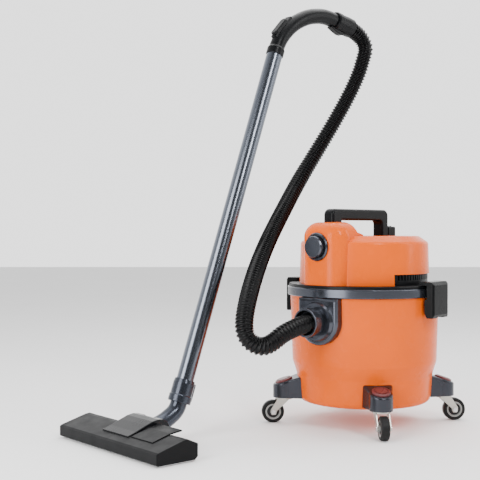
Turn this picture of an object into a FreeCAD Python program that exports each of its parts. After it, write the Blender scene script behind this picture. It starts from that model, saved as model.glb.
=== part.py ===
import FreeCAD, Part
import math
import os

import Sketcher

# A small wheeled shop vacuum, in millimetres. The origin is on the floor under the drum's
# axis and +Z is up. The front caster arm points 4 degrees off -Y, towards +X. The blower
# tower faces FACE, halfway between -X and -Y, and the inlet port faces PORT close to it.

DIMENSIONS = [
    # drum, rim band and head
    ("drum_floor", 50, "underside of the drum"),
    ("drum_wall", 3, "wall of the drum and of the head cover"),
    ("foot_radius", 147.2, "drum radius at its underside"),
    ("step_radius", 151, "drum radius where the straight foot ends"),
    ("step_height", 110, "height of that step"),
    ("swell_radius", 160.5, "drum radius where the swelling ends"),
    ("swell_height", 140, "height of that end"),
    ("drum_radius", 165, "drum radius at its top"),
    ("drum_top", 298, "top edge of the drum wall, inside the band"),
    ("band_radius", 171, "outside of the rim band"),
    ("band_foot", 285.5, "underside of the rim band"),
    ("band_top", 305.5, "top of the rim band"),
    ("band_bore", 159, "inside of the rim band"),
    ("seat_gap", 0.4, "gap between the head and the band"),
    ("flange_radius", 168, "flange of the head base"),
    ("flange_top", 311.6, "top of that flange"),
    ("plug_radius", 156.5, "locating skirt of the head base"),
    ("skirt_radius", 145, "head cover at its foot"),
    ("brow_radius", 142, "head cover under its chamfer"),
    ("apron_depth", 4.5, "how far the tower's foot is sunk into the flange"),
    ("brow_height", 402.5, "height of the chamfer's foot"),
    ("roof_radius", 121, "radius of the flat roof"),
    ("roof_height", 417, "height of the flat roof"),
    # blower tower and carry handle
    ("tower_face", 162, "distance of the tower's face from the axis"),
    ("tower_back", 97, "distance of the tower's back from the axis"),
    ("tower_half", 58, "half the tower's width"),
    ("tower_top", 447, "height of the tower"),
    ("blower_height", 394, "height of the blower port's axis"),
    ("blower_radius", 30.5, "outside of the blower port's ring"),
    ("handle_front", 126, "front end of the carry handle"),
    ("handle_rear", 74, "rear end of the carry handle, behind the axis"),
    ("handle_top", 476, "height of the carry handle"),
    ("handle_width", 28, "width of the carry handle"),
    ("handle_bar", 25, "thickness of the handle's bar"),
    ("gland_height", 352, "height of the cord gland's axis"),
    # inlet port, cuff and hose
    ("port_height", 236, "height of the inlet port's axis"),
    ("port_radius", 51, "half width of the port's boss"),
    ("port_face", 176, "distance of the boss's face from the axis"),
    ("port_bore", 24.1, "bore of the port"),
    ("hose_radius", 19, "outside of the hose"),
    ("cuff_mouth", 217, "distance of the cuff's mouth from the axis"),
    # caster arms and casters
    ("swivel_radius", 181, "distance of a caster's swivel axis from the drum's axis"),
    ("arm_half", 24.5, "half width and end radius of a caster arm"),
    ("arm_foot", 57, "underside of the arm"),
    ("wheel_radius", 25, "caster wheel"),
    ("wheel_half", 9, "half the width of a wheel"),
    ("trail", 25, "distance of the wheel's axle from the swivel axis"),
    ("axle_radius", 3, "caster axle"),
    ("running_gap", 0.06, "radial gap of a running fit"),
    ("plate_top", 56.4, "top of the caster's swivel plate"),
    # latches
    ("latch_half", 35, "half the width of a latch"),
    ("latch_face", 190, "outside of a latch, from the axis"),
    ("latch_pivot_radius", 180, "latch pin, from the axis"),
    ("latch_pivot_height", 257, "height of the latch pin"),
    ("latch_pin_radius", 2.5, "latch pin"),
    # wand and nozzle
    ("tube_radius", 18, "outside of the wand tube"),
    ("tube_wall", 1.2, "wall of the wand tube"),
    ("grip_radius", 17.5, "outside of the bent grip"),
    ("neck_radius", 17.5, "outside of the nozzle's neck"),
    ("nozzle_half", 173, "half the nozzle's width"),
    ("nozzle_front", 42, "nozzle's centre to its front face"),
    ("nozzle_back", 53, "nozzle's centre to its back face"),
    ("barrel_reach", 58, "nozzle's centre to the pitch axis"),
    ("barrel_height", 30, "height of the pitch axis"),
    ("barrel_radius", 20, "pivot barrel of the neck"),
]

HOSE_ROUTE = [
    (-131, -147, 236), (-156, -175, 232), (-192, -199, 218), (-215, -213, 199),
    (-235, -224, 193), (-257, -229, 202), (-270, -228, 221), (-271, -214, 248),
    (-264, -190, 283), (-253, -150, 321), (-237, -88, 363), (-214, -4, 411),
    (-179, 84, 474), (-138, 146, 548), (-94, 170, 619), (-50, 180, 692),
    (-14, 180, 757), (10, 175, 810), (19, 170, 843), (25, 166, 865),
    (20, 164, 883), (8, 158, 899), (-16, 142, 912), (-39, 122, 918),
]
GRIP_ROUTE = [(398, 804), (416, 854), (455, 894), (506, 920), (560, 929), (612, 919)]
NECK_ROUTE = [(58, 30), (98, 40), (131.3, 59.85), (141.6, 88.6)]
TUBE_FOOT = (141.6, 88.6)
TUBE_TOP = (407, 830)

V = FreeCAD.Vector
DOC = FreeCAD.newDocument("ShopVacuum")
SHEET = DOC.addObject("Spreadsheet::Sheet", "Dimensions")
CELLS = {}
NODES = []

for row, (alias, size, note) in enumerate(DIMENSIONS, start=1):
    SHEET.set(f"A{row}", note)
    SHEET.set(f"B{row}", str(size))
    SHEET.setAlias(f"B{row}", alias)
    CELLS[alias] = float(size)
DOC.recompute()


# ---- sizes, frames and the ways of making a piece ----

def number(words):
    """Value of a sum of products such as 'drum_radius - 2 * drum_wall'."""
    total, sign, product, divide = 0.0, 1.0, None, False
    for word in str(words).split():
        if word in ("+", "-"):
            total += sign * (product or 0.0)
            sign, product = (1.0 if word == "+" else -1.0), None
        elif word in ("*", "/"):
            divide = word == "/"
        else:
            factor = CELLS[word] if word in CELLS else float(word)
            factor = 1.0 / factor if divide else factor
            product = factor if product is None else product * factor
            divide = False
    return total + sign * (product or 0.0)


def bound(words):
    """The same sum as a FreeCAD expression on the sheet's cells."""
    return " ".join(f"Dimensions.{w}" if w in CELLS else w for w in str(words).split())


def spun(degrees, x=0, y=0, z=0):
    """Placement turned about +Z, then moved."""
    return FreeCAD.Placement(V(x, y, z), FreeCAD.Rotation(V(0, 0, 1), degrees))


def tipped(x, y, z, axis, degrees):
    """Placement turned about any axis, then moved."""
    return FreeCAD.Placement(V(x, y, z), FreeCAD.Rotation(V(*axis), degrees))


FACE = spun(225)
PORT = spun(228.3)
ARMS = {"front": spun(274), "right": spun(4), "back": spun(94), "left": spun(184)}
LATCHES = {"right": spun(-38), "left": spun(142)}
WAND = spun(-49.55, -509, -278.5, 0)
TO_X = FreeCAD.Rotation(V(0, 1, 0), 90)
TO_Y = FreeCAD.Rotation(V(1, 0, 0), -90)


def publish(piece, node, frame=None):
    """Name a finished piece, place it and keep it for writing."""
    piece.Label = node
    if frame is not None:
        piece.Placement = frame.multiply(piece.Placement)
    NODES.append(piece)
    return piece


def new_body(name):
    """Empty PartDesign body."""
    return DOC.addObject("PartDesign::Body", name)


def outline(body, name, plane, corners):
    """Closed sketch of straight edges on one of the body's own origin planes."""
    sketch = body.newObject("Sketcher::SketchObject", name)
    flat = next(f for f in body.Origin.OriginFeatures if f.Role == plane)
    sketch.AttachmentSupport = (flat, [""])
    sketch.MapMode = "FlatFace"
    spots = [V(number(a), number(b), 0) for a, b in corners]
    count = len(spots)
    for k, spot in enumerate(spots):
        sketch.addGeometry(Part.LineSegment(spot, spots[(k + 1) % count]), False)
    for k, (a, b) in enumerate(corners):
        sketch.addConstraint(Sketcher.Constraint("Coincident", k, 2, (k + 1) % count, 1))
        for kind, words, axis in (("DistanceX", a, -2), ("DistanceY", b, -1)):
            if number(words) == 0:
                sketch.addConstraint(Sketcher.Constraint("PointOnObject", k, 1, axis))
                continue
            index = sketch.addConstraint(Sketcher.Constraint(kind, -1, 1, k, 1, number(words)))
            sketch.setExpression(f"Constraints[{index}]", bound(words))
    return sketch


def picked(shape, test):
    """Names of the edges whose middle point and edge pass a test."""
    names = []
    for k, edge in enumerate(shape.Edges, start=1):
        middle = edge.valueAt((edge.FirstParameter + edge.LastParameter) / 2)
        if test(middle, edge):
            names.append(f"Edge{k}")
    return names


def softened(body, feature, test, radius, kind="Fillet"):
    """Fillet or chamfer on a body's edges that pass a test."""
    DOC.recompute()
    names = picked(feature.Shape, test)
    if not names:
        raise ValueError(f"no edge to round on {body.Name}")
    made = body.newObject(f"PartDesign::{kind}", f"{body.Name}_{kind.lower()}")
    made.Base = (feature, names)
    size = "Radius" if kind == "Fillet" else "Size"
    setattr(made, size, number(radius))
    made.setExpression(size, bound(radius))
    return made


def at_ring(radius, height):
    """Test for the circle of a turned piece at a radius and a height."""
    def test(middle, edge):
        return (isinstance(edge.Curve, Part.Circle)
                and abs(edge.Curve.Radius - number(radius)) < 0.05
                and abs(middle.z - number(height)) < 0.05)
    return test


def turned(name, corners, rounds=()):
    """Body turned about its own Z axis from a profile of (radius, height) corners."""
    body = new_body(name)
    feature = body.newObject("PartDesign::Revolution", f"{name}_turn")
    feature.Profile = outline(body, f"{name}_profile", "XZ_Plane", corners)
    feature.ReferenceAxis = (feature.Profile[0], ["V_Axis"])
    feature.Angle = 360
    for radius, height, size in rounds:
        feature = softened(body, feature, at_ring(radius, height), size)
    return body


def prism(name, plane, corners, depth, rounds=(), symmetric=True):
    """Body padded from a straight-edged outline; rounds are (test, radius) pairs."""
    body = new_body(name)
    feature = body.newObject("PartDesign::Pad", f"{name}_pad")
    feature.Profile = outline(body, f"{name}_outline", plane, corners)
    feature.SideType = "Symmetric" if symmetric else "One side"
    feature.Length = number(depth)
    feature.setExpression("Length", bound(depth))
    for test, size in rounds:
        feature = softened(body, feature, test, size)
    return body


def block(name, low, high):
    """Box between two corners, each a triple of sums."""
    box = DOC.addObject("Part::Box", name)
    for axis, side, a, b in zip("xyz", ("Length", "Width", "Height"), low, high):
        box.setExpression(side, f"({bound(b)}) - ({bound(a)})")
        box.setExpression(f"Placement.Base.{axis}", bound(a))
    return box


def rod(name, radius, length, place=None, sweep=360):
    """Cylinder along its placement's Z, or a sector of one."""
    bar = DOC.addObject("Part::Cylinder", name)
    bar.setExpression("Radius", bound(radius))
    bar.setExpression("Height", bound(length))
    bar.Angle = sweep
    if place is not None:
        bar.Placement = place
    return bar


def along_x(name, radius, start, stop, y=0, z=0):
    """Cylinder along +X between two places."""
    length = f"{stop} - {start}" if " " not in str(start) else number(stop) - number(start)
    return rod(name, radius, length, FreeCAD.Placement(V(number(start), number(y), number(z)), TO_X))


def along_y(name, radius, half, x=0, z=0):
    """Cylinder along Y, centred on the plane Y = 0."""
    spot = V(number(x), -number(half), number(z))
    return rod(name, radius, f"2 * {half}", FreeCAD.Placement(spot, TO_Y))


def joined(name, parts):
    """Fusion of pieces that overlap."""
    made = DOC.addObject("Part::MultiFuse", name)
    made.Shapes = parts
    made.Refine = True
    return made


def cut(name, base, tools):
    """Base less its tools."""
    made = DOC.addObject("Part::Cut", name)
    made.Base = base
    made.Tool = tools[0] if len(tools) == 1 else joined(f"{name}_tools", tools)
    made.Refine = True
    return made


def overlap(name, first, second):
    """What two pieces share."""
    made = DOC.addObject("Part::Common", name)
    made.Base = first
    made.Tool = second
    made.Refine = True
    return made


def rounded(name, base, test, radius):
    """Fillet on the edges of a Part object that pass a test."""
    DOC.recompute()
    made = DOC.addObject("Part::Fillet", name)
    made.Base = base
    size = number(radius)
    made.Edges = [(int(e[4:]), size, size) for e in picked(base.Shape, test)]
    if not made.Edges:
        raise ValueError(f"no edge to round on {name}")
    return made


def solid(name, shape, place=None):
    """Plain feature for a shape that no other object makes."""
    made = DOC.addObject("Part::Feature", name)
    made.Shape = shape
    if place is not None:
        made.Placement = place
    return made


def group(name, shapes):
    """Feature that holds identical separate solids."""
    return solid(name, Part.makeCompound(shapes))


def in_frame(piece, frame):
    """A piece's shape, moved into a frame."""
    shape = piece.Shape.copy()
    shape.Placement = frame.multiply(shape.Placement)
    return shape


def rounded_path(points):
    """Straight runs joined by tangent arcs, as large as the runs allow; also the arcs' radii."""
    edges, radii, start = [], [], points[0]
    for before, corner, after in zip(points, points[1:], points[2:]):
        back, ahead = before - corner, after - corner
        half_turn = (math.pi - back.getAngle(ahead)) / 2
        reach = 0.45 * min(back.Length, ahead.Length)
        radii.append(reach / math.tan(half_turn))
        back.normalize()
        ahead.normalize()
        enter, leave = corner + back * reach, corner + ahead * reach
        bisector = (back + ahead).normalize()
        to_centre = radii[-1] / math.cos(half_turn)
        middle = corner + bisector * (to_centre - radii[-1])
        edges += [Part.LineSegment(start, enter).toShape(), Part.Arc(enter, middle, leave).toShape()]
        start = leave
    edges.append(Part.LineSegment(start, points[-1]).toShape())
    return Part.Wire(edges), radii


def tube_along(points, radius):
    """Solid round bar swept along a rounded path."""
    path = rounded_path(points)[0]
    ring = Part.Wire(Part.makeCircle(radius, points[0], points[1] - points[0]))
    return path.makePipeShell([ring], True, False)


# ---- drum ----

def drum_profile(outset, top):
    """Outside of the drum from its axis up, moved outwards by outset."""
    return [
        ("0", "drum_floor"),
        (f"foot_radius + {outset}", "drum_floor"),
        (f"step_radius + {outset}", "step_height"),
        (f"swell_radius + {outset}", "swell_height"),
        (f"drum_radius + {outset}", "band_foot"),
        (f"drum_radius + {outset}", top),
        ("0", top),
    ]


def make_drum():
    """Turned shell with the hole for the inlet port."""
    outside = drum_profile("0", "drum_top")[:-1]
    inside = [
        ("drum_radius - drum_wall", "drum_top"),
        ("drum_radius - drum_wall", "band_foot"),
        ("swell_radius - drum_wall", "swell_height"),
        ("step_radius - drum_wall", "step_height"),
        ("foot_radius - drum_wall", "drum_floor + drum_wall"),
        ("0", "drum_floor + drum_wall"),
    ]
    shell = turned("drum_shell", outside + inside, [
        ("foot_radius", "drum_floor", "14"),
        ("foot_radius - drum_wall", "drum_floor + drum_wall", "11"),
        ("step_radius", "step_height", "10"),
        ("swell_radius", "swell_height", "20"),
    ])
    hole = along_x("drum_hole", "port_bore + 1.6", "140", "180", 0, "port_height")
    publish(cut("drum_cut", shell, [hole]), "drum", PORT)


def make_rim_band():
    """Dark ring that grips the drum's top edge."""
    band = turned("rim_band_ring", [
        ("drum_radius + 0.2", "band_foot"),
        ("band_radius", "band_foot"),
        ("band_radius", "band_top"),
        ("band_bore", "band_top"),
        ("band_bore", "band_foot + 5"),
        ("drum_radius - drum_wall - 0.2", "band_foot + 5"),
        ("drum_radius - drum_wall - 0.2", "drum_top + 0.4"),
        ("drum_radius + 0.2", "drum_top + 0.4"),
    ], [("band_radius", "band_foot", "2.5"), ("band_radius", "band_top", "2.5")])
    publish(band, "rim_band")


def make_inlet_port():
    """U-shaped boss with a bevelled ring and a bore, fitted round the drum's wall."""
    top = block("port_top", ("140", "0 - port_radius", "port_height"),
                ("port_face", "port_radius", "band_foot - 0.3"))
    bottom = along_x("port_bottom", "port_radius", "140", "port_face", 0, "port_height")
    boss = joined("port_boss", [top, bottom])
    soft = rounded("port_soft", boss, lambda p, e: abs(p.x - number("port_face")) < 0.1, "7")
    drum = turned("port_drum", drum_profile("0.05", "drum_top + 5"))
    under_band = block("port_trim", ("130", "0 - 60", "band_foot - 0.3"), ("190", "60", "band_top"))
    skin = cut("port_skin", soft, [drum, under_band])
    bevel = DOC.addObject("Part::Cone", "port_bevel")
    bevel.Radius1, bevel.Radius2, bevel.Height = 43, 39.5, 8
    bevel.Placement = FreeCAD.Placement(V(number("port_face") - 0.5, 0, number("port_height")), TO_X)
    spigot = along_x("port_spigot", "port_bore + 1.4", "152", "port_face", 0, "port_height")
    whole = joined("port_whole", [skin, bevel, spigot])
    bore = along_x("port_hole", "port_bore", "130", "200", 0, "port_height")
    ring = cut("port_groove", along_x("groove_out", "34.5", "181.5", "190", 0, "port_height"),
               [along_x("groove_in", "31.5", "180", "192", 0, "port_height")])
    publish(cut("port_cut", whole, [bore, ring]), "inlet_port", PORT)


def make_inlet_cuff():
    """Swivelling hose cuff: a spigot in the port and a wide rimmed mouth."""
    cuff = turned("cuff_body", [
        ("hose_radius + 0.6", "158"),
        ("port_bore - running_gap", "158"),
        ("port_bore - running_gap", "port_face + 8.2"),
        ("28", "port_face + 8.2"),
        ("28", "cuff_mouth - 26"),
        ("30.5", "cuff_mouth - 19"),
        ("30.5", "cuff_mouth"),
        ("26.5", "cuff_mouth"),
        ("25.5", "cuff_mouth - 14"),
        ("hose_radius + 0.6", "cuff_mouth - 18"),
    ], [("30.5", "cuff_mouth", "1.5"), ("30.5", "cuff_mouth - 19", "2")])
    cuff.Placement = FreeCAD.Placement(V(0, 0, number("port_height")), TO_X)
    publish(cuff, "inlet_cuff", PORT)


# ---- caster arms and casters, built for the arm along +X ----

ARM_ROOT = 140
ARM_TIP_HEIGHT = 85
ARM_ROOT_HEIGHT = 104
CAP_SLOPE = 17


def make_arm(side, frame):
    """Sloping arm with a round end, a hollow for the caster's bush and a seat for its cap."""
    plan = joined(f"arm_plan_{side}", [
        prism(f"arm_beam_{side}", "XZ_Plane", [
            (ARM_ROOT, "arm_foot"), ("swivel_radius", "arm_foot"),
            ("swivel_radius", "arm_foot + 60"), (ARM_ROOT, "arm_foot + 60"),
        ], "2 * arm_half"),
        rod(f"arm_end_{side}", "arm_half", "60",
            FreeCAD.Placement(V(number("swivel_radius"), 0, number("arm_foot")), FreeCAD.Rotation())),
        prism(f"arm_flare_{side}", "XY_Plane", [
            (ARM_ROOT, "arm_half + 9"), (ARM_ROOT, "0 - arm_half - 9"),
            ("swivel_radius - 8", "0 - arm_half"), ("swivel_radius - 8", "arm_half"),
        ], 240),
    ])
    slope = prism(f"arm_slope_{side}", "XZ_Plane", [
        (ARM_ROOT - 10, "arm_foot - 200"), (ARM_ROOT - 10, "arm_foot"),
        (220, "arm_foot"), (220, "arm_foot - 200"),
    ], 90)
    lid = prism(f"arm_lid_{side}", "XZ_Plane", [
        (ARM_ROOT - 10, ARM_ROOT_HEIGHT + 3), (150, ARM_ROOT_HEIGHT), (208, ARM_TIP_HEIGHT),
        (230, ARM_TIP_HEIGHT - 7), (230, 260), (ARM_ROOT - 10, 260),
    ], 90)
    trimmed = cut(f"arm_trim_{side}", plan, [slope, lid])
    top = rounded(f"arm_soft_{side}", trimmed,
                  lambda p, e: e.BoundBox.ZMin > ARM_TIP_HEIGHT - 12 and (abs(p.y) > 20 or p.x > 200), 5)
    drum = turned(f"arm_drum_{side}", drum_profile("0.05", "drum_top"))
    hole = rod(f"arm_hole_{side}", "8", "25.3",
               FreeCAD.Placement(V(number("swivel_radius"), 0, number("arm_foot")), FreeCAD.Rotation()))
    publish(cut(f"arm_cut_{side}", top, [drum, hole]), f"caster_arm_{side}", frame)


def cap_shape():
    """Round cap on the arm's sloping end, with a ring groove."""
    cap = turned("arm_cap_body", [
        ("0", "0"), ("19.5", "0"), ("19.5", "3"), ("16", "4.5"), ("15", "4.5"), ("15", "3"),
        ("13", "3"), ("13", "4.8"), ("0", "4.8"),
    ])
    DOC.recompute()
    height = ARM_ROOT_HEIGHT - (number("swivel_radius") - 150) * 19 / 58 + 0.1
    return in_frame(cap, tipped(number("swivel_radius"), 0, height, (0, 1, 0), CAP_SLOPE + 1.15))


def make_arm_fittings():
    """Groups of caps and of stem bushes, one per arm."""
    cap = cap_shape()
    bush = turned("bush_body", [
        ("5 + running_gap", "arm_foot + 0.3"), ("8", "arm_foot + 0.3"),
        ("8", "arm_foot + 25"), ("5 + running_gap", "arm_foot + 25"),
    ])
    DOC.recompute()
    seat = spun(0, number("swivel_radius"))
    bushes, caps = [], []
    for frame in ARMS.values():
        turned_cap = cap.copy()
        turned_cap.Placement = frame.multiply(turned_cap.Placement)
        caps.append(turned_cap)
        bushes.append(in_frame(bush, frame.multiply(seat)))
    publish(group("arm_caps_group", caps), "arm_caps")
    publish(group("bush_group", bushes), "stem_bushes")


def make_caster(side, frame):
    """Fork with its stem, axle, hub and tyre, the wheel trailing outwards."""
    axle_x = number("swivel_radius + trail")
    wall = prism(f"fork_wall_{side}", "XZ_Plane", [
        ("swivel_radius - 14", "plate_top"), ("swivel_radius + 14", "plate_top"),
        ("swivel_radius + 31", "wheel_radius + 5"), ("swivel_radius + 29", "wheel_radius - 6"),
        ("swivel_radius + 20", "wheel_radius - 6"), ("swivel_radius + 17", "wheel_radius + 3"),
    ], 29)
    space = block(f"fork_space_{side}", ("swivel_radius - 20", "0 - 12.5", "0"),
                  ("swivel_radius + 40", "12.5", "plate_top - 3"))
    legs = cut(f"fork_legs_{side}", wall, [space])
    place = FreeCAD.Placement(V(number("swivel_radius"), 0, number("plate_top") - 3), FreeCAD.Rotation())
    plate = rod(f"fork_plate_{side}", "20", "3", place)
    stem = rod(f"fork_stem_{side}", "5", "27", place)
    hole = along_y(f"fork_hole_{side}", "axle_radius", "20", axle_x, "wheel_radius")
    fork = joined(f"fork_whole_{side}", [legs, plate, stem])
    publish(cut(f"fork_cut_{side}", fork, [hole]), f"caster_fork_{side}", frame)

    centre = FreeCAD.Placement(V(axle_x, 0, number("wheel_radius")), TO_Y)
    axle = joined(f"axle_whole_{side}", [
        along_y(f"axle_rod_{side}", "axle_radius", "16.5", axle_x, "wheel_radius"),
        rod(f"axle_head_a_{side}", "5", "1.8",
            centre.multiply(FreeCAD.Placement(V(0, 0, 14.6), FreeCAD.Rotation()))),
        rod(f"axle_head_b_{side}", "5", "1.8",
            centre.multiply(FreeCAD.Placement(V(0, 0, -16.4), FreeCAD.Rotation()))),
    ])
    publish(axle, f"caster_axle_{side}", frame)

    hub = turned(f"hub_{side}", [
        ("axle_radius + running_gap", "0 - 11"), ("6.5", "0 - 11"), ("6.5", "0 - 5"),
        ("13.6", "0 - 5"), ("14.4", "0 - 8.4"), ("17.4", "0 - 8.4"), ("17.4", "8.4"), ("14.4", "8.4"),
        ("13.6", "5"), ("6.5", "5"), ("6.5", "11"), ("axle_radius + running_gap", "11"),
    ])
    hub.Placement = centre
    publish(hub, f"caster_hub_{side}", frame)
    tyre = turned(f"tyre_{side}", [
        ("17.4", "0 - wheel_half"), ("wheel_radius", "0 - wheel_half"),
        ("wheel_radius", "wheel_half"), ("17.4", "wheel_half"),
    ], [("wheel_radius", "wheel_half", "4"), ("wheel_radius", "0 - wheel_half", "4")])
    tyre.Placement = centre
    publish(tyre, f"caster_tyre_{side}", frame)


# ---- latches, built for a latch along +X ----

def make_latches():
    """Hinged latch blocks, with their fixed brackets and pins as groups."""
    height = "latch_pivot_height"
    base = "latch_pivot_radius"
    for side, frame in LATCHES.items():
        shell = prism(f"latch_shell_{side}", "XZ_Plane", [
            ("168.4", "252"), ("174", "243"), ("latch_face - 3", "243"), ("latch_face", "250"),
            ("latch_face", "313"), ("latch_face - 6", "320"), ("flange_radius - 9", "320"),
            ("flange_radius - 9", "flange_top + 0.8"), ("latch_face - 16.5", "flange_top + 0.8"),
            ("latch_face - 16.5", "283.5"), ("168.4", "280.5"),
        ], "2 * latch_half", [
            (lambda p, e: p.x > number("latch_face") - 1 and abs(p.y) > number("latch_half") - 0.1, 5),
        ])
        room = block(f"latch_room_{side}", ("160", "0 - 12.8", "240"), ("188", "12.8", "272"))
        bore = along_y(f"latch_bore_{side}", "latch_pin_radius + running_gap", "30.3", base, height)
        publish(cut(f"latch_cut_{side}", shell, [room, bore]), f"latch_{side}", frame)
    lug = prism("latch_lug", "XZ_Plane", [
        ("155", "246"), (f"{base} - 3", f"{height} - 5"), (f"{base} + 5", f"{height} - 4"),
        (f"{base} + 5", f"{height} + 4"), (f"{base} - 3", f"{height} + 6"), ("155", "268"),
    ], 24)
    drum = turned("lug_drum", drum_profile("0.05", "drum_top"))
    bore = along_y("lug_bore", "latch_pin_radius", "20", base, height)
    bracket = cut("latch_bracket", lug, [drum, bore])
    pin = along_y("latch_pin", "latch_pin_radius", "30", base, height)
    DOC.recompute()
    frames = list(LATCHES.values())
    publish(group("bracket_group", [in_frame(bracket, f) for f in frames]), "latch_brackets")
    publish(group("pin_group", [in_frame(pin, f) for f in frames]), "latch_pins")


# ---- motor head ----

def tower_prism(name):
    """The tower's outline with its rounded front corners, standing through z = 0."""
    return prism(name, "XY_Plane", [
        ("tower_back - 20", "0 - tower_half"), ("tower_face", "0 - tower_half"),
        ("tower_face", "tower_half"), ("tower_back - 20", "tower_half"),
    ], "2 * tower_top", [
        (lambda p, e: p.x > number("tower_face") - 1 and abs(p.y) > 50, 38),
        (lambda p, e: p.z > number("tower_top") - 1 and p.x > 80, 34),
    ])


def tower_apron(name):
    """The part of the tower's foot that is sunk into the flange."""
    foot = number("flange_top - apron_depth")
    slab = rod(name + "_slab", "tower_face + 20", "apron_depth", spun(0, 0, 0, foot))
    core = rod(name + "_core", "brow_radius", "20", spun(0, 0, 0, foot - 5))
    ring = cut(name + "_ring", slab, [core])
    return overlap(name, tower_prism(name + "_outline"), ring)


def make_head_base():
    """Black flange and floor of the head, with its locating skirt and the fan's eye."""
    base = turned("head_base_body", [
        ("30", "band_top + seat_gap"), ("plug_radius - 3", "band_top + seat_gap"),
        ("plug_radius - 3", "band_foot + 5"), ("plug_radius", "band_foot + 5"),
        ("plug_radius", "band_top + seat_gap"), ("flange_radius", "band_top + seat_gap"),
        ("flange_radius", "flange_top"), ("brow_radius - 6", "flange_top"),
        ("brow_radius - 6", "flange_top - 2.6"), ("30", "flange_top - 2.6"),
    ], [("flange_radius", "flange_top", "2")])
    publish(cut("head_base_cut", base, [tower_apron("base_room")]), "head_base", FACE)
    gasket = turned("gasket_body", [
        ("plug_radius", "293"), ("plug_radius + 2", "293"),
        ("plug_radius + 2", "299"), ("plug_radius", "299"),
    ])
    publish(gasket, "lid_gasket")


def make_head_cover():
    """Orange dome and blower tower in one hollow moulding, notched for the exhaust."""
    dome = turned("dome_outside", [
        ("0", "flange_top"), ("skirt_radius", "flange_top"), ("brow_radius", "brow_height"),
        ("roof_radius", "roof_height"), ("0", "roof_height"),
    ], [("brow_radius", "brow_height", "9"), ("roof_radius", "roof_height", "9")])
    tower = tower_prism("tower_outside")
    slope = prism("tower_shoulder", "XZ_Plane", [
        ("tower_back - 30", "roof_height"), ("tower_back - 2", "roof_height + 8"),
        ("tower_back + 3", "tower_top - 6"), ("tower_back + 10", "tower_top + 5"),
        ("tower_back - 30", "tower_top + 5"),
    ], 200)
    under = block("tower_under", ("0", "0 - 80", "0 - tower_top - 5"), ("200", "80", "flange_top"))
    pad = along_x("tower_pad", "blower_radius + 1.5", "110", "tower_face", 0, "blower_height")
    apron = tower_apron("cover_apron")
    outside = joined("cover_outside", [dome, cut("tower_trim", tower, [slope, under]), pad, apron])
    inner_dome = turned("dome_inside", [
        ("0", "flange_top - 1"), ("skirt_radius - drum_wall", "flange_top - 1"),
        ("brow_radius - drum_wall", "brow_height - 1"),
        ("roof_radius - 1.5", "roof_height - drum_wall"), ("0", "roof_height - drum_wall"),
    ])
    inner_tower = prism("tower_inside", "XY_Plane", [
        ("tower_back + 7", "0 - tower_half + drum_wall"),
        ("tower_face - drum_wall", "0 - tower_half + drum_wall"),
        ("tower_face - drum_wall", "tower_half - drum_wall"),
        ("tower_back + 7", "tower_half - drum_wall"),
    ], "2 * tower_top - 6", [
        (lambda p, e: p.x > number("tower_face") - 4 and abs(p.y) > 48, 35),
        (lambda p, e: p.z > number("tower_top") - 4 and p.x > 105, 31),
    ])
    inner_under = block("tower_floor", ("0", "0 - 80", "0 - tower_top - 5"),
                        ("200", "80", "flange_top - 1"))
    inside = joined("cover_inside", [inner_dome, cut("tower_hollow", inner_tower, [inner_under])])
    port = along_x("blower_hole", "21", "tower_face - 13", "tower_face + 7", 0, "blower_height")
    notch_place = spun(-71 - 225, 0, 0, number("flange_top") - 1)
    notch = cut("exhaust_notch", rod("notch_out", "150", "24.5", notch_place, 90),
                [rod("notch_in", "140", "30", spun(0, 0, 0, number("flange_top") - 2))])
    gland = tipped(-135, 0, number("gland_height"), (0, 1, 0), -90)
    gland_hole = rod("gland_hole", "6.2", "20", gland)
    publish(cut("cover_cut", outside, [inside, port, notch, gland_hole]), "head_cover", FACE)


def make_exhaust_grille():
    """Louvred ring inside the cover's skirt."""
    body = new_body("grille_body")
    ring = body.newObject("PartDesign::Revolution", "grille_ring")
    ring.Profile = outline(body, "grille_profile", "XZ_Plane", [
        ("137.5", "flange_top"), ("140.7", "flange_top"),
        ("140.7", "flange_top + 27"), ("137.5", "flange_top + 27"),
    ])
    ring.ReferenceAxis = (ring.Profile[0], ["V_Axis"])
    slot = body.newObject("PartDesign::Pocket", "grille_slot")
    slot.Profile = outline(body, "grille_slot_outline", "YZ_Plane", [
        ("0 - 1.8", "flange_top + 11"), ("1.8", "flange_top + 11"),
        ("1.8", "flange_top + 22.5"), ("0 - 1.8", "flange_top + 22.5"),
    ])
    slot.Length = 160
    slot.Reversed = True
    louvres = body.newObject("PartDesign::PolarPattern", "grille_louvres")
    louvres.Originals = [slot]
    louvres.Axis = (ring.Profile[0], ["V_Axis"])
    louvres.Angle = 80
    louvres.Occurrences = 25
    body.Tip = louvres
    DOC.recompute()
    if not louvres.Shape.Volume < ring.Shape.Volume - 25 * 100:
        raise ValueError("the louvres cut too little")
    publish(body, "exhaust_grille", spun(-66))


def make_blower_port():
    """Ring round the blower port and the pull-off plug that closes it."""
    place = FreeCAD.Placement(V(number("tower_face"), 0, number("blower_height")), TO_X)
    ring = turned("blower_ring_body", [
        ("18.5", "0 - 14"), ("20.8", "0 - 14"), ("20.8", "0"), ("blower_radius", "0"),
        ("blower_radius", "3"), ("blower_radius - 2", "5.5"), ("26", "5.5"), ("25", "1.5"),
        ("18.5", "1.5"),
    ])
    ring.Placement = place
    publish(ring, "blower_ring", FACE)
    plug = turned("blower_plug_body", [
        ("0", "2"), ("13", "2"), ("13", "0 - 12"), ("18", "0 - 12"), ("18", "2"),
        ("23.5", "2"), ("23.5", "13"), ("21.5", "16"), ("0", "16"),
    ], [("21.5", "16", "1.2")])
    plug.Placement = place
    publish(plug, "blower_plug", FACE)


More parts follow.
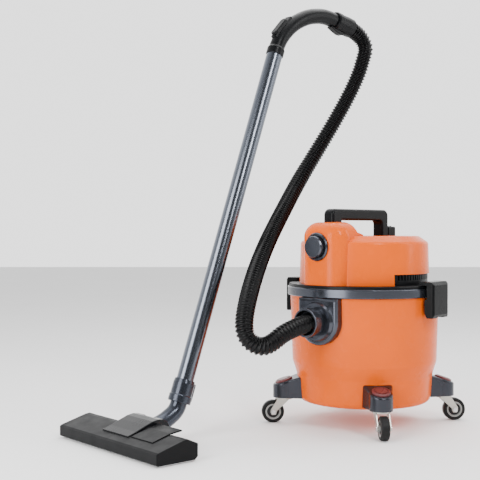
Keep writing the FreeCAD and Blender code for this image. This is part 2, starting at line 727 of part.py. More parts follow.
def make_carry_handle():
    """Fixed bar handle over the head, open under its bar."""
    foot = "roof_height + 0.1"
    bar = "handle_top - handle_bar"
    handle = prism("handle_body", "XZ_Plane", [
        ("0 - handle_rear", foot), ("0 - handle_rear + 25", foot), ("0 - handle_rear + 25", bar),
        ("tower_back - 4", bar), ("tower_back - 4", "tower_top + 0.1"),
        ("handle_front", "tower_top + 0.1"), ("handle_front", "handle_top"),
        ("0 - handle_rear", "handle_top"),
    ], "handle_width", [
        (lambda p, e: p.z > number("handle_top") - 1 and abs(p.y) < 1, 14),
        (lambda p, e: abs(p.z - number("handle_top") + number("handle_bar")) < 0.5
         and abs(p.y) < 1 and p.x < 0, 9),
        (lambda p, e: abs(p.y) > number("handle_width") / 2 - 0.1 and p.z > number("tower_top") + 1, 6),
    ])
    publish(handle, "carry_handle", FACE)


ROCKER_REST = 6


def make_switch():
    """Housing behind the handle's rear leg, and its rocker, stored switched off."""
    shell = block("switch_box", ("0 - handle_rear - 28", "0 - 14", "roof_height + 0.1"),
                  ("0 - handle_rear - 0.2", "14", "roof_height + 21"))
    soft = rounded("switch_soft", shell,
                   lambda p, e: p.z > number("roof_height") + 20.5 or (p.x < -95 and abs(p.y) > 13), 4)
    well = block("switch_well", ("0 - handle_rear - 23.5", "0 - 6", "roof_height + 12"),
                 ("0 - handle_rear - 4.7", "6", "roof_height + 30"))
    sockets = along_y("switch_sockets", "1.5 + running_gap", "8",
                      "0 - handle_rear - 14.1", "roof_height + 17")
    publish(cut("switch_cut", soft, [well, sockets]), "switch_housing", FACE)
    plate = prism("rocker_plate", "XZ_Plane", [
        ("0 - 8", "0 - 3"), ("8", "0 - 3"), ("8.6", "5"), ("0", "3.8"), ("0 - 8.6", "5"),
    ], 11)
    rocker = joined("rocker_whole", [plate, along_y("rocker_pin", "1.5", "7.7")])
    rocker.Placement = tipped(-number("handle_rear") - 14.1, 0, number("roof_height") + 17,
                              (0, 1, 0), ROCKER_REST)
    publish(rocker, "switch_rocker", FACE)


def make_cord_gland():
    """Tapered strain relief for a mains cord, low at the back of the cover."""
    gland = turned("gland_body", [
        ("3.6", "0"), ("6.1", "0"), ("6.1", "10.4"), ("10", "10.4"), ("10", "13.5"),
        ("7.5", "15"), ("5.5", "34"), ("3.6", "34"),
    ])
    gland.Placement = tipped(-134.5, 0, number("gland_height"), (0, 1, 0), -90)
    publish(gland, "cord_gland", FACE)


def make_motor():
    """Fan housing, motor and impeller on the head's floor."""
    floor = "flange_top - 2.6"
    housing = turned("housing_body", [
        ("59", floor), ("68", floor), ("68", f"{floor} + 3"), ("62", f"{floor} + 3"),
        ("62", "383"), ("46", "388"), ("0", "388"), ("0", "385"), ("45", "385"), ("59", "380"),
    ])
    publish(housing, "motor_housing")
    core = turned("motor_core_body", [
        ("4 + running_gap", "340"), ("42", "340"), ("44", "344"), ("44", "376"), ("40", "384.8"),
        ("0", "384.8"), ("0", "360"), ("4 + running_gap", "360"),
    ])
    publish(core, "motor_core")
    discs = turned("impeller_discs", [
        ("0", "312"), ("9", "312"), ("9", "315"), ("54", "315"), ("54", "317"), ("9", "317"),
        ("9", "331"), ("54", "331"), ("54", "333"), ("9", "333"), ("4", "336"), ("4", "358"), ("0", "358"),
    ])
    blades = []
    for k in range(8):
        place = spun(45 * k).multiply(FreeCAD.Placement(V(8, -1, 316), FreeCAD.Rotation()))
        blades.append(solid(f"blade_{k}", Part.makeBox(44, 2, 16), place))
    publish(joined("impeller_whole", [discs] + blades), "impeller")


def make_filter():
    """Slotted cage under the head, its cloth sleeve, and the float ball inside it."""
    body = new_body("cage_body")
    tube = body.newObject("PartDesign::Revolution", "cage_tube")
    tube.Profile = outline(body, "cage_profile", "XZ_Plane", [
        ("0", "200"), ("56", "200"), ("56", "band_top + seat_gap - 0.1"),
        ("34", "band_top + seat_gap - 0.1"), ("34", "302"), ("53", "302"), ("53", "203"), ("0", "203"),
    ])
    tube.ReferenceAxis = (tube.Profile[0], ["V_Axis"])
    slot = body.newObject("PartDesign::Pocket", "cage_slot")
    slot.Profile = outline(body, "cage_slot_outline", "YZ_Plane", [
        ("0 - 9", "212"), ("9", "212"), ("9", "292"), ("0 - 9", "292"),
    ])
    slot.Length = 70
    slot.Reversed = True
    slots = body.newObject("PartDesign::PolarPattern", "cage_slots")
    slots.Originals = [slot]
    slots.Axis = (tube.Profile[0], ["V_Axis"])
    slots.Angle = 360
    slots.Occurrences = 12
    body.Tip = slots
    DOC.recompute()
    if not slots.Shape.Volume < tube.Shape.Volume - 12 * 3000:
        raise ValueError("the cage's slots cut too little")
    publish(body, "filter_cage")
    sleeve = turned("sleeve_body", [
        ("0", "195"), ("60", "195"), ("60", "300"), ("57", "300"), ("57", "198"), ("0", "198"),
    ], [("60", "195", "6")])
    publish(sleeve, "filter_sleeve")
    ball = DOC.addObject("Part::Sphere", "ball")
    ball.Radius = 22
    ball.Placement = spun(0, 0, 0, 203.4 + 22)
    publish(ball, "float_ball")


# ---- wand, grip and hose; the wand's plane is Y (backwards) and Z in the WAND frame ----

LEAN = math.degrees(math.atan2(TUBE_TOP[0] - TUBE_FOOT[0], TUBE_TOP[1] - TUBE_FOOT[1]))
TUBE_LENGTH = math.dist(TUBE_FOOT, TUBE_TOP)


def on_tube(along=0.0):
    """Placement on the wand's axis: Z along the tube, Y away from the hand's side."""
    foot = tipped(0, TUBE_FOOT[0], TUBE_FOOT[1], (1, 0, 0), -LEAN)
    return foot.multiply(FreeCAD.Placement(V(0, 0, along), FreeCAD.Rotation()))


def wand_points(route):
    """Route points of the wand's plane as vectors."""
    return [V(0, a, b) for a, b in route]


def make_wand():
    """Straight thin-walled metal tube."""
    tube = turned("tube_body", [
        ("tube_radius - tube_wall", 0), ("tube_radius", 0),
        ("tube_radius", TUBE_LENGTH), ("tube_radius - tube_wall", TUBE_LENGTH),
    ])
    tube.Placement = on_tube()
    publish(tube, "wand_tube", WAND)


def make_neck():
    """Bent neck of the nozzle with its pivot barrel, and the collar that takes the tube."""
    bar = tube_along(wand_points(NECK_ROUTE), number("neck_radius"))
    bore = tube_along(wand_points(NECK_ROUTE), number("neck_radius - 3"))
    pivot = FreeCAD.Placement(V(0, number("barrel_reach"), number("barrel_height")), TO_X)

    def across(name, radius, half):
        start = FreeCAD.Placement(V(0, 0, -half), FreeCAD.Rotation())
        return rod(name, radius, 2 * half, pivot.multiply(start))

    outside = joined("neck_outside", [
        solid("neck_bar", bar), across("neck_barrel", "barrel_radius", 31), across("neck_trunnions", "6", 42),
    ])
    socket = rod("neck_socket", "tube_radius + 4", "60", on_tube(-8))
    publish(cut("neck_cut", outside, [solid("neck_bore", bore), socket]), "nozzle_neck", WAND)

    sleeve = turned("collar_body", [
        ("tube_radius + 0.05", 0), ("tube_radius + 0.05", 34), ("21", 34), ("22.5", 26),
        ("22.5", 2), ("24", 0), ("24", "0 - 14"), ("neck_radius + 0.05", "0 - 14"),
        ("neck_radius + 0.05", 0),
    ], [("24", 0, "0.8"), ("24", "0 - 14", "1.5")])
    sleeve.Placement = on_tube()
    seat = block("button_seat", ("0 - 8.5", "19", "0 - 6"), ("8.5", "26", "30"))
    well = block("button_well", ("0 - 5.6", "20.2", "0 - 2.4"), ("5.6", "40", "26.4"))
    seat_soft = rounded("button_seat_soft", seat, lambda p, e: p.y > 25.9, 2)
    bump = solid_move(seat_soft, "button_bump", on_tube())
    room = solid_move(well, "button_room", on_tube())
    publish(cut("collar_cut", joined("collar_whole", [sleeve, bump]), [room]), "neck_collar", WAND)

    button = block("button_block", ("0 - 5", "22.9", "0 - 2"), ("5", "29", "26"))
    soft = rounded("button_soft", button, lambda p, e: p.y > 28.9, 2)
    publish(solid_move(soft, "button_moved", on_tube()), "release_button", WAND)


def solid_move(piece, name, place):
    """Copy of a piece, moved by a placement."""
    DOC.recompute()
    return solid(name, in_frame(piece, place))


# The slider's own frame sits on the grip's first bend: Y runs along the bend, Z stands out.
SLIDER = tipped(0, 437, 872.5, (1, 0, 0), 47)


def make_grip():
    """Bent hollow grip with its socket, slider seat and latch lug."""
    points = wand_points(GRIP_ROUTE)
    bar = tube_along(points, number("grip_radius"))
    bore = tube_along(points, number("grip_radius - 3"))
    sleeve = turned("grip_sleeve", [
        ("tube_radius - 3", "0 - 12"), ("tube_radius + 1.2", "0 - 12"), ("tube_radius + 1.8", "0 - 11"),
        ("tube_radius + 1.8", "3"), ("tube_radius - 1", "8"), ("tube_radius - 3", "8"),
    ])
    sleeve.Placement = on_tube(TUBE_LENGTH)
    socket = rod("grip_socket", "tube_radius + 0.05", "60.5", on_tube(TUBE_LENGTH - 60))
    seat = solid_move(block("slider_seat", ("0 - 8.5", "0 - 33", "10"), ("8.5", "34", "20")),
                      "slider_seat_moved", SLIDER)
    outside = joined("grip_outside", [solid("grip_bar", bar), sleeve, seat])
    publish(cut("grip_cut", outside, [solid("grip_bore", bore), socket]), "grip", WAND)
    pad = block("slider_block", ("0 - 9.5", "0 - 31", "20.4"), ("9.5", "22", "26.4"))
    pad_soft = rounded("slider_soft", pad,
                       lambda p, e: abs(abs(p.x) - 9.5) < 0.1 and abs(p.z - 23.4) < 0.1, 9)
    pad_round = rounded("slider_round", pad_soft, lambda p, e: p.z > 26.3, 2.5)
    publish(solid_move(pad_round, "slider_moved", SLIDER), "air_slider", WAND)


def make_grip_cuff():
    """Swivelling collar between the grip's end and the hose."""
    last, end = wand_points(GRIP_ROUTE)[-2:]
    slope = math.degrees(math.atan2(end.z - last.z, end.y - last.y))
    cuff = turned("grip_cuff_body", [
        ("grip_radius + running_gap", "0 - 20"), ("21", "0 - 20"), ("22.5", "0 - 16"), ("22.5", "0 - 4"),
        ("21.5", "0 - 2"), ("22.5", "20"), ("22", "36"), ("20.5", "36"), ("20.5", "1"),
        ("grip_radius + running_gap", "1"),
    ])
    tab = prism("grip_cuff_tab", "YZ_Plane", [
        ("18.6", "0 - 31"), ("20.5", "0 - 31.5"), ("25.5", "0 - 14"), ("28", "0 - 2"), ("27", "8"),
        ("22", "14"), ("21.2", "14"), ("21.2", "0"), ("18.6", "0 - 2"),
    ], 16, [(lambda p, e: abs(p.x) > 7.9 and p.y > 22 and e.Length > 6, 2)])
    whole = joined("grip_cuff_whole", [cuff, tab])
    whole.Placement = tipped(0, end.y, end.z, (1, 0, 0), slope - 90)
    publish(whole, "grip_cuff", WAND)


def make_hose():
    """Free hose from the inlet cuff to the grip cuff, as a plain round bar of its outer size."""
    points = [V(*p) for p in HOSE_ROUTE]
    radius = number("hose_radius")
    bar = tube_along(points, radius)
    path, radii = rounded_path(points)
    print("hose runs", [round((b - a).Length) for a, b in zip(points, points[1:])])
    print("hose arc radii", [round(r) for r in radii])
    section = math.pi * radius ** 2 * path.Length
    print(f"hose length {path.Length:.1f}, volume {bar.Volume:.0f}, section x length {section:.0f}")
    if abs(bar.Volume / section - 1) > 0.01:
        raise ValueError("the hose's volume isn't its section times its length")
    publish(solid("hose_bar", bar), "hose")


# ---- nozzle head, in the WAND frame: X along its width ----

BRUSHES = (-22, 26)


def make_nozzle():
    """Wide floor nozzle: body, hood over the pivot, sole plate, brush strips and pedal."""
    front, back = "0 - nozzle_front", "nozzle_back"
    body = prism("nozzle_outside", "YZ_Plane", [
        (front, "5.6"), (f"{front} + 3", "3.2"), (f"{back} - 8", "3.2"), (back, "10"), (back, "33"),
        ("29", "43.5"), ("20", "42.5"), (f"{front} + 4", "27"), (front, "24"),
    ], "2 * nozzle_half", [
        (lambda p, e: abs(p.x) > number("nozzle_half") - 0.1 and p.z > 12, 2),
    ])
    cavity = block("nozzle_cavity", ("0 - 140", "0 - 26", "0"), ("140", "30", "20"))
    throat = block("nozzle_throat", ("0 - 34", "10", "5"), ("34", "60", "32"))
    pivot = FreeCAD.Placement(V(0, number("barrel_reach"), number("barrel_height")), TO_X)

    def across(name, radius, half, sweep=360, start=0):
        turn = tipped(0, 0, -half, (0, 0, 1), start)
        return rod(name, radius, 2 * half, pivot.multiply(turn), sweep)

    scoop = block("nozzle_scoop", ("0 - 46", "30.8", "0"), ("46", "60", "60"))
    recess = prism("nozzle_recess", "YZ_Plane", [
        ("0 - 15.4", "26"), ("29", "36"), ("60", "22"), ("60", "60"), ("0 - 15.4", "60"),
    ], 72)
    recess.Placement = spun(0, 86)
    sockets = along_x("nozzle_sockets", "1.5 + running_gap", "47.7", "124.3", "0 - 12", "30")
    publish(cut("nozzle_cut", body, [cavity, throat, scoop, recess, sockets]), "nozzle_body", WAND)

    hood = prism("hood_outside", "YZ_Plane", [
        ("0 - 18", "32.7"), ("12", "40.8"), ("20", "42.9"), ("29", "43.9"), ("31", "43.7"), ("31", "16"),
        ("50", "4"), ("66", "4"), ("82", "16"), ("84", "34"), ("76", "50"), ("66", "56.5"),
        ("54", "57.8"), ("40", "55.5"), ("24", "49.8"), ("0", "40.4"), ("0 - 18", "34.7"),
    ], 91, [(lambda p, e: abs(p.x) > 45.4 and p.z > 40 and p.y > 30.5, 2)])
    cradle = across("hood_cradle", "barrel_radius + 0.6", 31.6)
    mouth = across("hood_mouth", "60", 20.4, 159, 16)
    pins = across("hood_pins", "6 + running_gap", 42.4)
    publish(cut("hood_cut", hood, [cradle, mouth, pins]), "nozzle_hood", WAND)

    sole = block("sole_blank", ("0 - nozzle_half + 4", f"{front} + 8", "0"), ("nozzle_half - 4", "42", "3.1"))
    mouth_slot = block("sole_slot", ("0 - 135", "0 - 14", "0 - 1"), ("135", "20", "5"))
    brush_slots = [block(f"sole_brush_{k}", ("0 - 140", f"{y} - 3.6", "0 - 1"), ("140", f"{y} + 3.6", "5"))
                   for k, y in enumerate(BRUSHES)]
    publish(cut("sole_cut", sole, [mouth_slot] + brush_slots), "sole_plate", WAND)


def make_brushes():
    """Two bristle strips joined by a frame inside the cavity, and the pedal that drops them."""
    strips = [block(f"brush_{k}", ("0 - 136", f"{y} - 2", "0.4"), ("136", f"{y} + 2", "12"))
              for k, y in enumerate(BRUSHES)]
    frame = [block(f"brush_bar_{k}", (f"{x} - 5", "0 - 23", "8"), (f"{x} + 5", "27", "12"))
             for k, x in ((0, -110), (1, 110))]
    publish(joined("brush_whole", strips + frame), "brush_strips", WAND)


def make_pedal():
    """Foot pedal beside the hood, rocking on the nozzle's ridge."""
    plate = prism("pedal_plate", "YZ_Plane", [
        ("0 - 14.4", "29.5"), ("0 - 14.4", "35"), ("26", "46.2"), ("54", "49.5"), ("55", "46.5"),
        ("26", "43.2"), ("0 - 9.6", "33.8"), ("0 - 9.6", "29"), ("0 - 12", "28"),
    ], 70, [(lambda p, e: abs(p.x) > 34.9 and p.z > 34, 1)])
    plate.Placement = spun(0, 86, 0, 0)
    pin = along_x("pedal_pin", "1.5", "48", "124", "0 - 12", "30")
    publish(joined("pedal_whole", [plate, pin]), "brush_pedal", WAND)


# ---- the whole ----

make_drum()
make_rim_band()
make_inlet_port()
make_inlet_cuff()
for arm_side, arm_frame in ARMS.items():
    make_arm(arm_side, arm_frame)
    make_caster(arm_side, arm_frame)
make_arm_fittings()
make_latches()
make_head_base()
make_head_cover()
make_exhaust_grille()
make_blower_port()
make_carry_handle()
make_switch()
make_cord_gland()
make_motor()
make_filter()
make_wand()
make_neck()
make_grip()
make_grip_cuff()
make_hose()
make_nozzle()
make_brushes()
make_pedal()
DOC.recompute()

faults = [f"{o.Label}: {o.State}" for o in DOC.Objects if {"Invalid", "Error"} & set(o.State)]
faults += [f"{n.Label}: bad shape" for n in NODES if n.Shape.isNull() or not n.Shape.isValid()]
faults += [f"{n.Label}: no solid" for n in NODES if not n.Shape.Solids]
if faults:
    raise ValueError("; ".join(faults))

os.makedirs("parts", exist_ok=True)
for node in NODES:
    node.Shape.exportStep(f"parts/{node.Label}.step")
print(len(NODES), "nodes written")
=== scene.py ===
import math

import bpy
import numpy as np
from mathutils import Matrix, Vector


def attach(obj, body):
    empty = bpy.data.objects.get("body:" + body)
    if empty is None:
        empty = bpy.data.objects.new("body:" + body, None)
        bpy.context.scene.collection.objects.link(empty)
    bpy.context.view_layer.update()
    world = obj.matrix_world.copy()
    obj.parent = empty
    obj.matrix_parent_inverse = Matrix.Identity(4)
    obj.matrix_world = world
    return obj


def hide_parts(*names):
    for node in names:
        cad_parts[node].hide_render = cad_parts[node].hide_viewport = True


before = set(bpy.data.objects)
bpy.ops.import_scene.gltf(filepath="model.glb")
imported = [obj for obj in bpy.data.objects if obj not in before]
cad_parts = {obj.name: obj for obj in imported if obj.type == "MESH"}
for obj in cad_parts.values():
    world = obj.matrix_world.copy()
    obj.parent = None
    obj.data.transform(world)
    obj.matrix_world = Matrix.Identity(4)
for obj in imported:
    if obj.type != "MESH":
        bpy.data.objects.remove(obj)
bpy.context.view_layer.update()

HOSE_RADIUS = 0.019
RIB_PITCH = 0.0075
RIB_DEPTH = 0.0034
RIB_LIFT = 0.0003
RIB_SHARPNESS = 1.4
HOSE_ROUTE = [
    (-0.131, -0.147, 0.236), (-0.156, -0.175, 0.232), (-0.192, -0.199, 0.218), (-0.215, -0.213, 0.199),
    (-0.235, -0.224, 0.193), (-0.257, -0.229, 0.202), (-0.270, -0.228, 0.221), (-0.271, -0.214, 0.248),
    (-0.264, -0.190, 0.283), (-0.253, -0.150, 0.321), (-0.237, -0.088, 0.363), (-0.214, -0.004, 0.411),
    (-0.179, 0.084, 0.474), (-0.138, 0.146, 0.548), (-0.094, 0.170, 0.619), (-0.050, 0.180, 0.692),
    (-0.014, 0.180, 0.757), (0.010, 0.175, 0.810), (0.019, 0.170, 0.843), (0.025, 0.166, 0.865),
    (0.020, 0.164, 0.883), (0.008, 0.158, 0.899), (-0.016, 0.142, 0.912), (-0.039, 0.122, 0.918),
]

WHEEL_TURNS = {"front": 274, "right": 4, "back": 94, "left": 184}
WHEEL_REACH = 0.206
WHEEL_RADIUS = 0.025

# A Mix node names its colour sockets like its number sockets, so they are taken by position.
MIX_FACTOR, MIX_FIRST, MIX_SECOND, MIX_RESULT = 0, 6, 7, 2


# ---- camera ----

def set_camera():
    """Long lens from the front, a little left of the drum and just below the top of the motor head."""
    data = bpy.data.cameras.new("studio_camera")
    data.lens = 72
    data.sensor_width = 36
    camera = bpy.data.objects.new("studio_camera", data)
    camera.location = (-0.279, -2.16, 0.43)
    camera.rotation_euler = (math.radians(89.403), 0, 0)
    bpy.context.scene.collection.objects.link(camera)
    bpy.context.scene.camera = camera


# ---- materials ----

class Finish:
    """A node material for one real finish, read from Object coordinates in metres."""

    def __init__(self, name, colour, roughness, **sockets):
        self.material = bpy.data.materials.new(name)
        self.material.use_nodes = True
        self.tree = self.material.node_tree
        self.shader = self.tree.nodes["Principled BSDF"]
        self.place = self.node("ShaderNodeTexCoord").outputs["Object"]
        self.shader.inputs["Base Color"].default_value = (*colour, 1)
        self.shader.inputs["Roughness"].default_value = roughness
        for socket, value in sockets.items():
            self.shader.inputs[socket.replace("_", " ")].default_value = value
        self.colour, self.roughness = colour, roughness

    def node(self, kind, **values):
        """New node; keywords set its sockets or, failing that, its properties."""
        made = self.tree.nodes.new(kind)
        for key, value in values.items():
            if key.replace("_", " ") in made.inputs:
                made.inputs[key.replace("_", " ")].default_value = value
            else:
                setattr(made, key, value)
        return made

    def link(self, source, target):
        """Join an output to a socket."""
        self.tree.links.new(source, target)

    def noise(self, scale, detail, stretch=None):
        """Fractal noise with features about 1 / scale metres across."""
        made = self.node("ShaderNodeTexNoise", Scale=scale, Detail=detail)
        if stretch is None:
            self.link(self.place, made.inputs["Vector"])
        else:
            mapping = self.node("ShaderNodeMapping", Scale=stretch)
            self.link(self.place, mapping.inputs["Vector"])
            self.link(mapping.outputs["Vector"], made.inputs["Vector"])
        return made.outputs["Fac"]

    def spread(self, value, low, high, start=0.3, stop=0.7):
        """Value from start..stop mapped to low..high."""
        made = self.node("ShaderNodeMapRange")
        for key, number in (("From Min", start), ("From Max", stop), ("To Min", low), ("To Max", high)):
            made.inputs[key].default_value = number
        self.link(value, made.inputs["Value"])
        return made.outputs["Result"]

    def mottle(self, scale, amount, detail=3.0):
        """Slow lightening and darkening of the base colour."""
        mix = self.node("ShaderNodeMix", data_type="RGBA")
        dark = tuple(c * (1 - amount) for c in self.colour)
        light = tuple(min(1, c * (1 + amount)) for c in self.colour)
        mix.inputs[MIX_FIRST].default_value = (*dark, 1)
        mix.inputs[MIX_SECOND].default_value = (*light, 1)
        self.link(self.spread(self.noise(scale, detail), 0, 1), mix.inputs[MIX_FACTOR])
        self.link(mix.outputs[MIX_RESULT], self.shader.inputs["Base Color"])

    def wear(self, scale, amount, detail=4.0, stretch=None):
        """Roughness that wanders by amount either way."""
        low, high = self.roughness - amount, self.roughness + amount
        wander = self.spread(self.noise(scale, detail, stretch), low, high)
        self.link(wander, self.shader.inputs["Roughness"])

    def grain(self, scale, depth, strength=1.0, detail=2.0, stretch=None):
        """Bump of a moulded or brushed surface; depth in metres."""
        bump = self.node("ShaderNodeBump", Strength=strength, Distance=depth)
        self.link(self.noise(scale, detail, stretch), bump.inputs["Height"])
        self.link(bump.outputs["Normal"], self.shader.inputs["Normal"])


def plastic(name, colour, roughness, grain_scale, grain_depth, **sockets):
    """Plastic, rubber, felt or bristle: faint mottle, wandering gloss and a fine grain."""
    made = Finish(name, colour, roughness, **sockets)
    made.mottle(scale=9, amount=0.05)
    made.wear(scale=35, amount=0.06)
    made.grain(grain_scale, grain_depth, strength=0.6)
    return made.material


def metal(name, colour, roughness, stretch):
    """Metal: fine changes in its gloss and a shallow bump, as streaks where the stretch is uneven."""
    made = Finish(name, colour, roughness, Metallic=1.0)
    made.mottle(scale=12, amount=0.05)
    made.wear(scale=900, amount=0.05, detail=3.0, stretch=stretch)
    made.grain(scale=1200, depth=0.000006, strength=0.4, stretch=stretch)
    return made.material


def drawn(name, colour, roughness):
    """Drawn and anodised tube: only slow, shallow changes, so its long reflections stay clean."""
    made = Finish(name, colour, roughness, Metallic=1.0)
    made.mottle(scale=5, amount=0.04, detail=1.0)
    made.wear(scale=4, amount=0.02, detail=1.0)
    made.grain(scale=14, depth=0.00002, strength=0.4, detail=1.0)
    return made.material


ORANGE = plastic("orange_shell", (0.72, 0.100, 0.0), 0.25, 1400, 0.00002,
                 Specular_IOR_Level=0.10, Coat_Weight=0.05, Coat_Roughness=0.12)
BAND = plastic("slate_band", (0.066, 0.071, 0.086), 0.22, 1600, 0.00001,
               Metallic=0.85, Specular_IOR_Level=0.25)
BLACK = plastic("black_moulding", (0.0036, 0.0038, 0.0045), 0.34, 1300, 0.00002, Specular_IOR_Level=0.13)
LATCH = plastic("latch_moulding", (0.0030, 0.0032, 0.0036), 0.30, 1300, 0.00002,
                Specular_IOR_Level=0.09)
ARM = plastic("arm_moulding", (0.036, 0.038, 0.046), 0.24, 1300, 0.00001,
              Metallic=0.7, Specular_IOR_Level=0.2)
CAP = plastic("arm_cap_gloss", (0.120, 0.028, 0.030), 0.26, 1500, 0.00002, Specular_IOR_Level=0.3)
NOZZLE = plastic("nozzle_moulding", (0.0040, 0.0042, 0.0048), 0.42, 1100, 0.00004, Specular_IOR_Level=0.10)
HOOD = plastic("hood_gloss", (0.0050, 0.0053, 0.0065), 0.24, 1300, 0.00002, Specular_IOR_Level=0.16)
NECK = plastic("neck_moulding", (0.048, 0.054, 0.068), 0.23, 1500, 0.00001,
               Metallic=0.75, Specular_IOR_Level=0.25)
HOSE = plastic("hose_ribs", (0.0018, 0.0018, 0.0022), 0.27, 1600, 0.00001, Specular_IOR_Level=0.16)
TYRE = plastic("tyre_rubber", (0.009, 0.009, 0.009), 0.50, 900, 0.00006, Specular_IOR_Level=0.16)
HUB = plastic("hub_moulding", (0.30, 0.30, 0.29), 0.42, 1200, 0.00005)
SHIELD = plastic("shield_moulding", (0.018, 0.018, 0.019), 0.40, 1200, 0.00003, Specular_IOR_Level=0.2)
RUBBER = plastic("soft_rubber", (0.008, 0.008, 0.008), 0.60, 900, 0.00006, Specular_IOR_Level=0.16)
WHITE = plastic("pale_moulding", (0.72, 0.72, 0.69), 0.45, 1200, 0.00005)
INNER = plastic("inner_moulding", (0.20, 0.20, 0.22), 0.50, 1200, 0.00005)
CLOTH = plastic("filter_felt", (0.70, 0.70, 0.67), 0.95, 700, 0.00030)
BRISTLE = plastic("nylon_bristle", (0.02, 0.02, 0.02), 0.70, 1800, 0.00040)
WAND = drawn("anodised_tube", (0.135, 0.149, 0.178), 0.24)
ZINC = metal("zinc_plate", (0.46, 0.45, 0.41), 0.34, (1, 1, 1))
STEEL = metal("bright_steel", (0.60, 0.60, 0.60), 0.28, (1, 1, 1))
SOLE = metal("brushed_sole", (0.55, 0.55, 0.55), 0.36, (0.05, 1, 1))
IRON = metal("motor_laminations", (0.20, 0.20, 0.21), 0.55, (1, 1, 1))

NODE_FINISHES = {
    "drum": ORANGE, "head_cover": ORANGE, "rim_band": BAND, "inlet_port": BAND, "inlet_cuff": BAND,
    "head_base": BLACK, "exhaust_grille": BLACK, "blower_ring": BAND, "blower_plug": BAND,
    "carry_handle": BLACK, "switch_housing": BLACK, "switch_rocker": BLACK, "cord_gland": RUBBER,
    "arm_caps": CAP, "stem_bushes": INNER, "latch_brackets": BLACK, "latch_pins": STEEL,
    "latch_right": LATCH, "latch_left": LATCH, "lid_gasket": RUBBER, "motor_housing": INNER,
    "motor_core": IRON, "impeller": IRON, "filter_cage": INNER, "filter_sleeve": CLOTH,
    "float_ball": WHITE, "grip": BLACK, "grip_cuff": BLACK, "air_slider": BLACK, "wand_tube": WAND,
    "neck_collar": NECK, "release_button": BLACK, "nozzle_neck": NECK, "nozzle_body": NOZZLE,
    "nozzle_hood": HOOD, "sole_plate": SOLE, "brush_strips": BRISTLE, "brush_pedal": NOZZLE,
}
for side in ("front", "right", "back", "left"):
    NODE_FINISHES[f"caster_arm_{side}"] = ARM
    NODE_FINISHES[f"caster_fork_{side}"] = ZINC
    NODE_FINISHES[f"caster_axle_{side}"] = STEEL
    NODE_FINISHES[f"caster_hub_{side}"] = HUB
    NODE_FINISHES[f"caster_tyre_{side}"] = TYRE


def finish_nodes():
    """Every CAD node but the hose gets its finish."""
    for name, finish in NODE_FINISHES.items():
        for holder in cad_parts[name].material_slots:
            holder.material = finish


# ---- new surfaces ----

def grid_mesh(name, points, finish, closed_u=False, closed_v=False):
    """Mesh of a grid of points [u, v, xyz], its last row or column joined to the first where closed."""
    rows, columns = points.shape[:2]
    index = np.arange(rows * columns).reshape(rows, columns)
    if closed_u:
        index = np.concatenate([index, index[:1]], axis=0)
    if closed_v:
        index = np.concatenate([index, index[:, :1]], axis=1)
    corners = [index[:-1, :-1], index[:-1, 1:], index[1:, 1:], index[1:, :-1]]
    faces = np.stack(corners, axis=-1).reshape(-1, 4)
    mesh = bpy.data.meshes.new(name)
    mesh.from_pydata(points.reshape(-1, 3).tolist(), [], faces.tolist())
    mesh.polygons.foreach_set("use_smooth", np.ones(len(mesh.polygons), bool))
    mesh.materials.append(finish)
    piece = bpy.data.objects.new(name, mesh)
    bpy.context.scene.collection.objects.link(piece)
    return piece


def route_line(name, route):
    """Points along the smooth NURBS line that has the route as its control points."""
    data = bpy.data.curves.new(name, "CURVE")
    data.dimensions = "3D"
    data.resolution_u = 24
    spline = data.splines.new("NURBS")
    spline.points.add(len(route) - 1)
    spline.points.foreach_set("co", np.column_stack([route, np.ones(len(route))]).ravel())
    spline.order_u = 3
    spline.use_endpoint_u = True
    holder = bpy.data.objects.new(name, data)
    bpy.context.scene.collection.objects.link(holder)
    mesh = bpy.data.meshes.new_from_object(holder)
    line = np.zeros(len(mesh.vertices) * 3)
    mesh.vertices.foreach_get("co", line)
    bpy.data.objects.remove(holder)
    bpy.data.meshes.remove(mesh)
    return line.reshape(-1, 3)


def spaced(line, step):
    """The same line at even steps along its length, with the distance of each point."""
    along = np.concatenate([[0], np.cumsum(np.linalg.norm(np.diff(line, axis=0), axis=1))])
    at = np.linspace(0, along[-1], int(round(along[-1] / step)) + 1)
    return np.stack([np.interp(at, along, line[:, k]) for k in range(3)], axis=1), at


def make_hose():
    """Ribbed hose of round rings, open at both ends inside its cuffs.

    A rib's height is half of one minus the cosine of a full turn per pitch, to a power that
    widens the valleys. The radius is the crest's radius less the rib's depth times one minus
    that height.
    """
    steps, around = 10, 40
    line, at = spaced(route_line("hose_line", HOSE_ROUTE), RIB_PITCH / steps)
    ahead = np.gradient(line, axis=0)
    ahead /= np.linalg.norm(ahead, axis=1)[:, None]
    # The line spreads least this way and never runs straight along it, so the cross product isn't zero.
    across = np.linalg.svd(line - line.mean(axis=0))[2][2]
    side = np.cross(ahead, across)
    side /= np.linalg.norm(side, axis=1)[:, None]
    up = np.cross(side, ahead)
    rib = (0.5 - 0.5 * np.cos(2 * np.pi * at / RIB_PITCH)) ** RIB_SHARPNESS
    radius = HOSE_RADIUS + RIB_LIFT - RIB_DEPTH * (1 - rib)
    turn = np.linspace(0, 2 * np.pi, around, endpoint=False)
    ring = np.cos(turn)[None, :, None] * side[:, None] + np.sin(turn)[None, :, None] * up[:, None]
    points = line[:, None] + radius[:, None, None] * ring
    hose = grid_mesh("ribbed_hose", points, HOSE, closed_v=True)
    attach(hose, "drum_unit")
    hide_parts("hose")


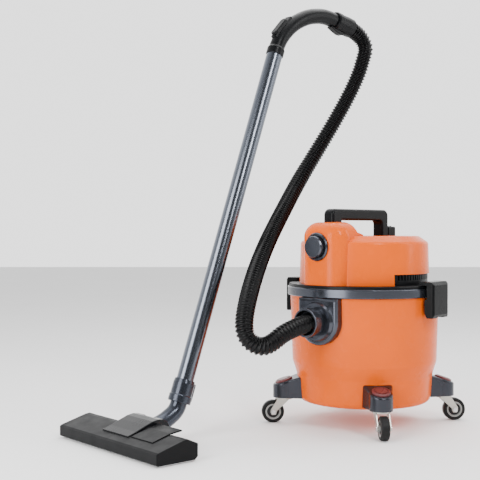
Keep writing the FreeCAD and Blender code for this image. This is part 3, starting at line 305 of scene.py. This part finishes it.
def make_shields():
    """Dark rings over the bearings, turned about each axle from a closed profile.

    Each point of the profile is a radius from the axle's line and a distance from the wheel's
    middle, in millimetres.
    """
    around = 48
    profile = np.array([
        (6.8, 5.3), (6.8, 7.6), (7.6, 8.3), (9.4, 8.3), (10.2, 7.6), (11.6, 7.4), (12.8, 6.9), (13.1, 5.3),
    ]) / 1000
    turn = np.linspace(0, 2 * np.pi, around, endpoint=False)
    for side, degrees in WHEEL_TURNS.items():
        angle = math.radians(degrees)
        out = np.array([math.cos(angle), math.sin(angle), 0.0])
        axle = np.array([-math.sin(angle), math.cos(angle), 0.0])
        spokes = np.cos(turn)[:, None] * out + np.sin(turn)[:, None] * np.array([0.0, 0.0, 1.0])
        for face, name in ((1, "outer"), (-1, "inner")):
            rings = WHEEL_REACH * out + np.array([0, 0, WHEEL_RADIUS]) + (
                profile[None, :, 0, None] * spokes[:, None] + face * profile[None, :, 1, None] * axle)
            shield = grid_mesh(f"bearing_shield_{side}_{name}", rings[::face], SHIELD, True, True)
            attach(shield, f"wheel_{side}")


# ---- studio ----

def soft_light(name, place, aim, size, power):
    """Rectangular area light at a place, turned towards its aim."""
    data = bpy.data.lights.new(name, "AREA")
    data.shape = "RECTANGLE"
    data.size, data.size_y = size
    data.energy = power
    lamp = bpy.data.objects.new(name, data)
    lamp.location = place
    bpy.context.scene.collection.objects.link(lamp)
    lamp.rotation_euler = (Vector(aim) - Vector(place)).to_track_quat("-Z", "Y").to_euler()


def set_studio():
    """Pale floor, surroundings darker before the object than behind it, and four soft lights."""
    world = bpy.data.worlds.new("studio_white")
    world.use_nodes = True
    world.node_tree.nodes["Background"].inputs["Color"].default_value = (1, 1, 1, 1)
    nodes, links = world.node_tree.nodes, world.node_tree.links
    direction = nodes.new("ShaderNodeTexCoord").outputs["Generated"]
    parts = nodes.new("ShaderNodeSeparateXYZ")
    brightness = nodes.new("ShaderNodeMapRange")
    for socket, value in (("From Min", -0.7), ("From Max", 0.6), ("To Min", 0.12), ("To Max", 2.2)):
        brightness.inputs[socket].default_value = value
    links.new(direction, parts.inputs["Vector"])
    links.new(parts.outputs["Y"], brightness.inputs["Value"])
    links.new(brightness.outputs["Result"], nodes["Background"].inputs["Strength"])
    bpy.context.scene.world = world
    mesh = bpy.data.meshes.new("studio_floor")
    half = 9
    corners = [(-half, -half, 0), (half, -half, 0), (half, half, 0), (-half, half, 0)]
    mesh.from_pydata(corners, [], [(0, 1, 2, 3)])
    floor = bpy.data.objects.new("studio_floor", mesh)
    bpy.context.scene.collection.objects.link(floor)
    paper = Finish("pale_paper", (0.92, 0.92, 0.92), 0.9)
    paper.mottle(scale=2, amount=0.01)
    mesh.materials.append(paper.material)
    soft_light("front_strip", (0.70, -1.80, 1.75), (0, 0, 0.25), (0.45, 1.2), 34)
    soft_light("left_box", (-1.60, -1.50, 0.9), (-0.1, 0, 0.3), (1.1, 1.8), 54)
    soft_light("right_fill", (1.9, -0.3, 1.1), (0, 0, 0.3), (0.5, 1.6), 14)
    soft_light("top_light", (0.2, 0.5, 2.4), (0, 0, 0.2), (2.0, 2.0), 42)


set_camera()
finish_nodes()
make_hose()
make_shields()
set_studio()
